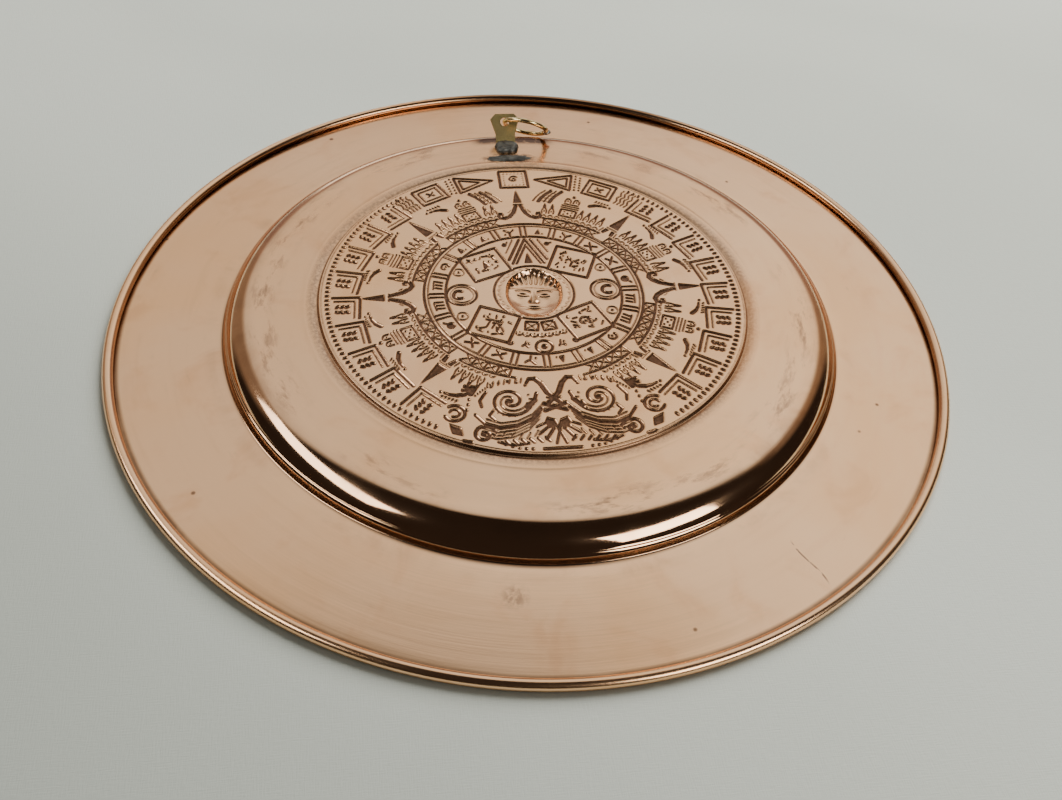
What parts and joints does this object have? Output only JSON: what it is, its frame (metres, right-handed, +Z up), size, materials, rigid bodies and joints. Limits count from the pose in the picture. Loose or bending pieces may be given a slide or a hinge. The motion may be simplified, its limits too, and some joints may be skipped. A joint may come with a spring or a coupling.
{
  "type": "copper wall plate",
  "caption": "Round spun copper wall plate with a rolled rim, a raised well with a pressed medallion, and a soldered brass tab with a ring to hang it by.",
  "frame": {"origin": "on the plate's axis, on the surface that the rim rests on when the plate lies face down", "axes": "+Z up, along the plate's axis, out of its back; +Y towards the hanger"},
  "size_m": [0.305, 0.305, 0.0251],
  "materials": {
    "copper": "polished copper, lightly brushed, brown tarnish in the grooves",
    "tab_brass": "aged brass sheet, dull olive",
    "solder": "soft solder, oxidised dull grey",
    "ring_brass": "bright drawn brass wire",
    "joint_solder": "solder and copper-coloured flux stain"
  },
  "bodies": {
    "plate": {"copper_plate": "copper", "hanger_tab": "tab_brass", "foot_solder": "solder", "solder_spill": "solder"},
    "ring": {"hanging_ring": "ring_brass", "ring_joint_solder": "joint_solder"}
  },
  "joints": [
    {"name": "ring_swing", "type": "hinge", "parent": "plate", "child": "ring", "pos_m": [0, 0.10402, 0.01893], "axis": [0, -0.682, 0.7314], "range_deg": [0, 208]}
  ]
}
